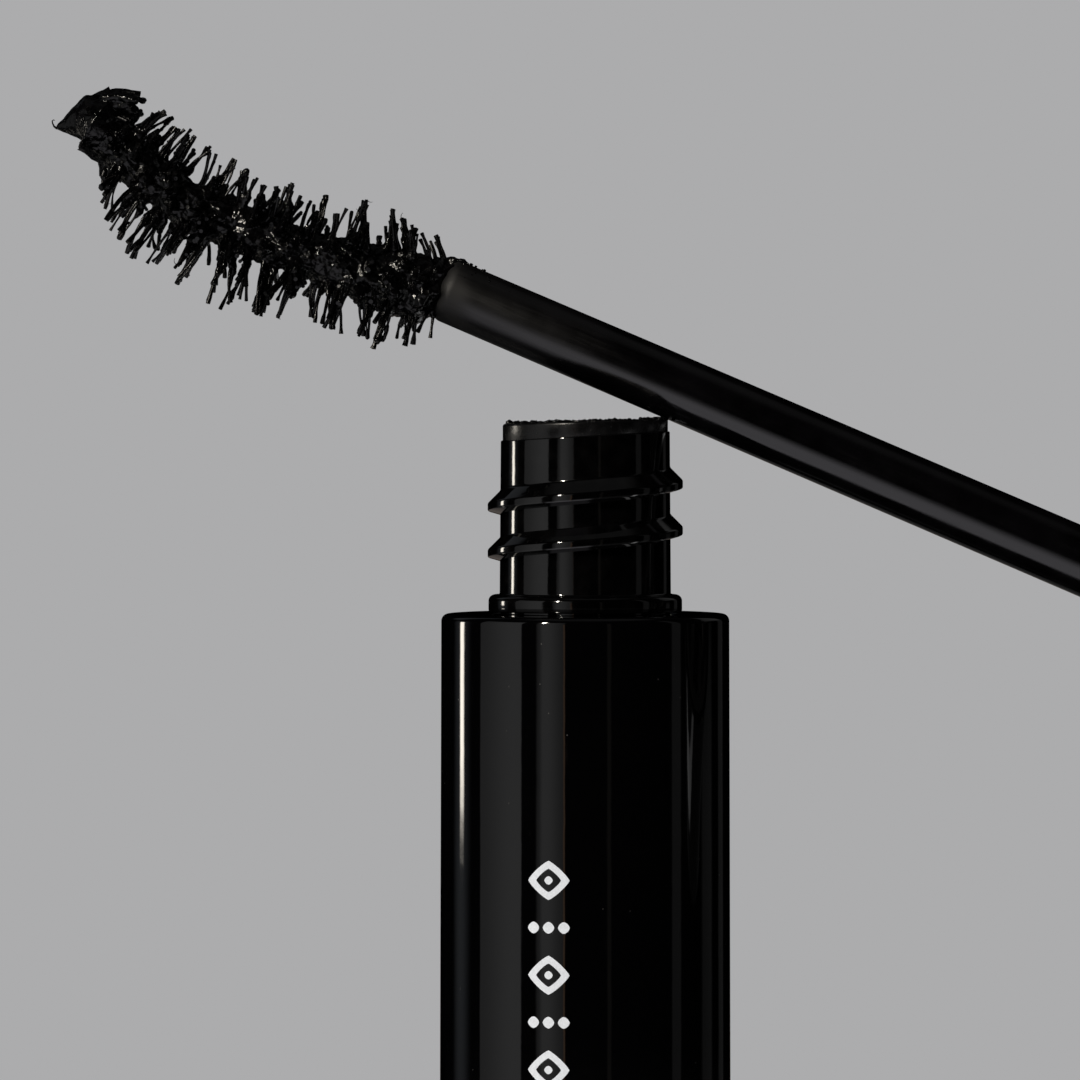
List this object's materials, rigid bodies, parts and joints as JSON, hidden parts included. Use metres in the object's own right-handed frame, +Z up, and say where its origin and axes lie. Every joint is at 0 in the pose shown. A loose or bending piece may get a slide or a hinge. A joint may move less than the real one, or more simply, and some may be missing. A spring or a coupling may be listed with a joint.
{
  "type": "mascara tube",
  "caption": "Slim round screw-neck mascara tube standing open, with its curved bristle wand and cap laid across the neck.",
  "frame": {"origin": "centre of the flat base of the tube", "axes": "+Z up along the tube; the wand lies in the XZ plane, its brush towards -X and up and its cap towards +X and down; the viewer of the front looks along +Y"},
  "size_m": [0.1068, 0.0186, 0.1171],
  "materials": {
    "shell_gloss_black": "gloss",
    "neck_gloss_black": "gloss",
    "wiper_soft_black": "satin",
    "stem_satin_black": "satin",
    "liner_plastic": "satin",
    "washer_foam": "matte",
    "wire_steel": "satin",
    "weight_steel": "satin",
    "bristle_nylon": "satin",
    "mascara_product": "gloss",
    "print_white": "satin"
  },
  "bodies": {
    "tube": {"outer_sleeve": "shell_gloss_black", "inner_bottle": "neck_gloss_black", "wiper": "wiper_soft_black", "base_plug": "shell_gloss_black", "base_weight": "weight_steel", "mascara_fill": "mascara_product"},
    "washer": {"seal_washer": "washer_foam"},
    "wand": {"cap_shell": "shell_gloss_black", "cap_liner": "liner_plastic", "stem": "stem_satin_black", "wire_core": "wire_steel", "tip_drop": "mascara_product", "bristle_row_01": "bristle_nylon", "bristle_row_02": "bristle_nylon", "bristle_row_03": "bristle_nylon", "bristle_row_04": "bristle_nylon", "bristle_row_05": "bristle_nylon", "bristle_row_06": "bristle_nylon", "bristle_row_07": "bristle_nylon", "bristle_row_08": "bristle_nylon", "bristle_row_09": "bristle_nylon", "bristle_row_10": "bristle_nylon", "bristle_row_11": "bristle_nylon", "bristle_row_12": "bristle_nylon", "bristle_row_13": "bristle_nylon", "bristle_row_14": "bristle_nylon", "bristle_row_15": "bristle_nylon", "bristle_row_16": "bristle_nylon", "bristle_row_17": "bristle_nylon", "bristle_row_18": "bristle_nylon", "bristle_row_19": "bristle_nylon", "bristle_row_20": "bristle_nylon", "bristle_row_21": "bristle_nylon", "bristle_row_22": "bristle_nylon", "bristle_row_23": "bristle_nylon", "bristle_row_24": "bristle_nylon"}
  },
  "joints": [
    {"name": "wand_tilt", "type": "hinge", "parent": "tube", "child": "washer", "pos_m": [-0.01264, 0, 0.11968], "axis": [0, -1, 0], "range_deg": [0, 113.15]},
    {"name": "wand_twist", "type": "hinge", "parent": "washer", "child": "wand", "pos_m": [-0.00904, 0, 0.1044], "axis": [0.9195, 0, -0.3931], "continuous": true}
  ]
}
